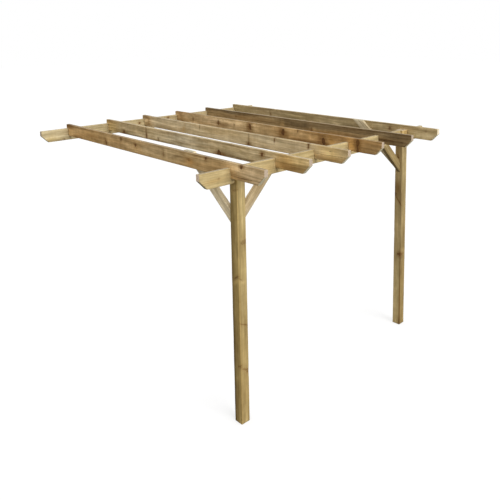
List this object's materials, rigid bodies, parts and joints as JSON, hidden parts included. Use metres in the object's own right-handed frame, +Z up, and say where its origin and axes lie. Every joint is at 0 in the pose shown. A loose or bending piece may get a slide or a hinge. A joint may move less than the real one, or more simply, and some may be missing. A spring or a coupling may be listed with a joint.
{
  "type": "lean-to pergola",
  "caption": "Lean-to garden pergola: a wall beam and a slotted, braced pair of posts with a front beam carry level halved rafters with bevelled tips.",
  "frame": {"origin": "middle of the wall beam's back face, which lies against the wall", "axes": "+X along the beams to the right seen from the front, +Y into the wall, +Z up"},
  "size_m": [3.317, 3.547, 2.42],
  "materials": {
    "post_timber": "rough sawn, pressure treated",
    "beam_timber": "rough sawn, pressure treated",
    "rafter_timber": "rough sawn, pressure treated, weathered",
    "brace_timber": "rough sawn, pressure treated"
  },
  "bodies": {
    "root": {"left_post": "post_timber", "right_post": "post_timber", "front_beam": "beam_timber", "wall_beam": "beam_timber", "rafter_1": "rafter_timber", "rafter_2": "rafter_timber", "rafter_3": "rafter_timber", "rafter_4": "rafter_timber", "rafter_5": "rafter_timber", "rafter_6": "rafter_timber", "left_beam_brace": "brace_timber", "right_beam_brace": "brace_timber", "left_rafter_brace": "brace_timber", "right_rafter_brace": "brace_timber"}
  },
  "joints": []
}
